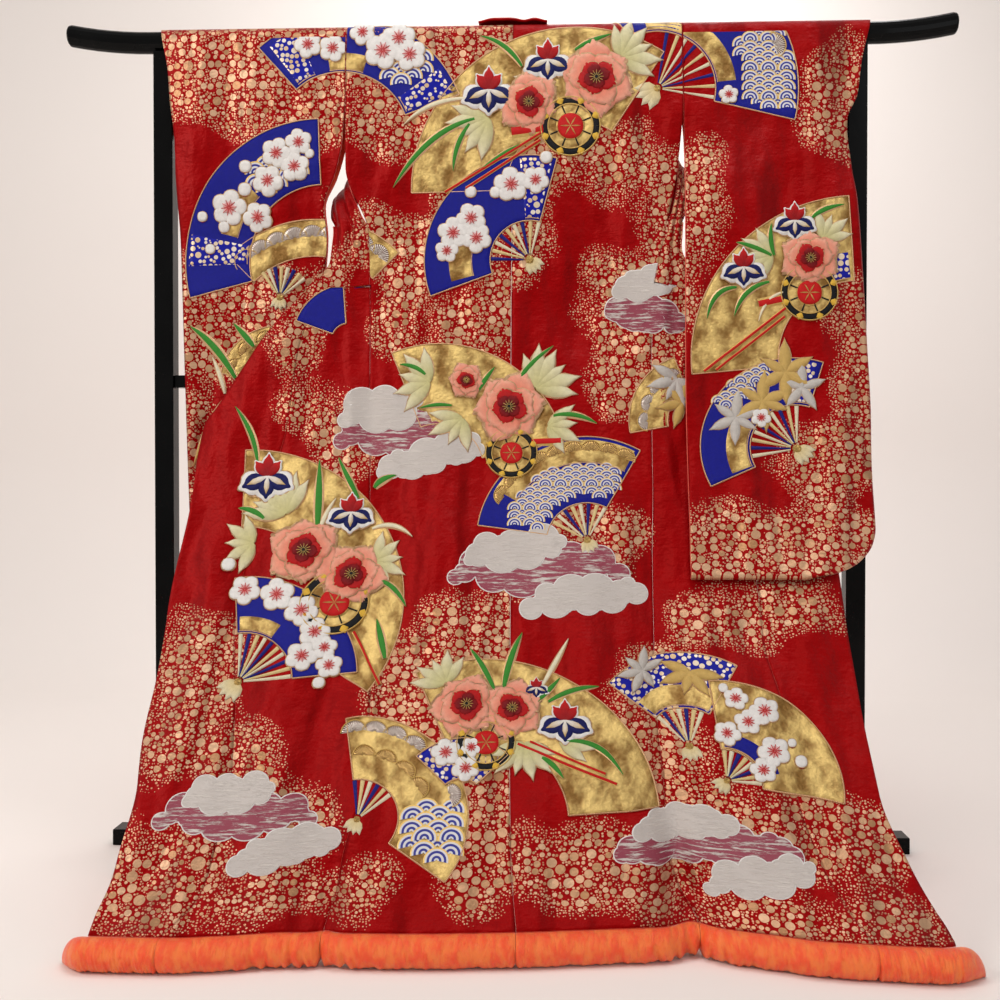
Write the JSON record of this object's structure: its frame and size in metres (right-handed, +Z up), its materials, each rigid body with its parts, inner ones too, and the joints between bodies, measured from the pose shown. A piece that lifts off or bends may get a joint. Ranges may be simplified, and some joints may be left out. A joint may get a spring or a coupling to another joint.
{
  "type": "uchikake wedding kimono on a kimono stand",
  "caption": "Long padded-hem formal robe of patterned silk, spread open with its back outward over the round bar of a lacquered display stand.",
  "frame": {"origin": "on the floor, at the middle of the underside of the stand's base rail", "axes": "+X along the stand's bar to the right of a viewer who faces the robe's back, -Y towards that viewer, +Z up"},
  "size_m": [1.7072, 0.844, 1.6018],
  "materials": {
    "red_silk": "satin woven silk, red with a fine gold and pink dot pattern",
    "hem_silk": "plain orange-red satin silk, padded",
    "black_lacquer": "high gloss black lacquer"
  },
  "bodies": {
    "root": {"back_left": "red_silk", "back_right": "red_silk", "front_left": "red_silk", "front_right": "red_silk", "okumi_left": "red_silk", "okumi_right": "red_silk", "sleeve_left": "red_silk", "sleeve_right": "red_silk", "collar_left": "red_silk", "collar_right": "red_silk", "collar_neck": "red_silk", "hem_roll_okumi_left": "hem_silk", "hem_roll_front_left": "hem_silk", "hem_roll_back_left": "hem_silk", "hem_roll_back_right": "hem_silk", "hem_roll_front_right": "hem_silk", "hem_roll_okumi_right": "hem_silk", "stand_top_bar": "black_lacquer", "stand_post_left": "black_lacquer", "stand_post_right": "black_lacquer", "stand_mid_rail": "black_lacquer", "stand_base_rail": "black_lacquer", "stand_foot_left_front": "black_lacquer", "stand_foot_left_rear": "black_lacquer", "stand_foot_right_front": "black_lacquer", "stand_foot_right_rear": "black_lacquer"}
  },
  "joints": []
}
